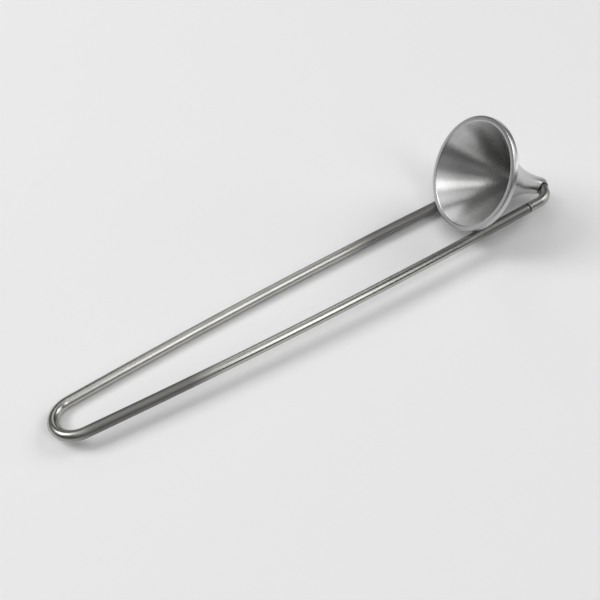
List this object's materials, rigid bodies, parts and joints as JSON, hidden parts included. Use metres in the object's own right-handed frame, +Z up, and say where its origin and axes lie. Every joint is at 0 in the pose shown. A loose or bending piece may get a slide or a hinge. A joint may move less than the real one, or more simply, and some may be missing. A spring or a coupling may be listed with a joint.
{
  "type": "candle snuffer",
  "caption": "Candle snuffer: a small turned metal bell that swings on the end of a long closed loop of bent wire, which serves as the handle and hangs on a hook.",
  "frame": {"origin": "on the table under the middle of the part's box", "axes": "+X along the handle from the hanging bend towards the bell, +Y across the loop to its far leg, +Z up from the table it lies on"},
  "size_m": [0.1702, 0.0344, 0.0352],
  "materials": {
    "wire": "bright drawn wire with fine lengthwise lines",
    "bell": "turned and lightly polished, fine rings"
  },
  "bodies": {
    "handle": {"handle_loop": "wire"},
    "bell": {"bell": "bell"}
  },
  "joints": [
    {"name": "bell_swing", "type": "hinge", "parent": "handle", "child": "bell", "pos_m": [0.08172, -0.00579, 0.00615], "axis": [0.0967, 0.9648, -0.2446], "range_deg": [0, 296]}
  ]
}
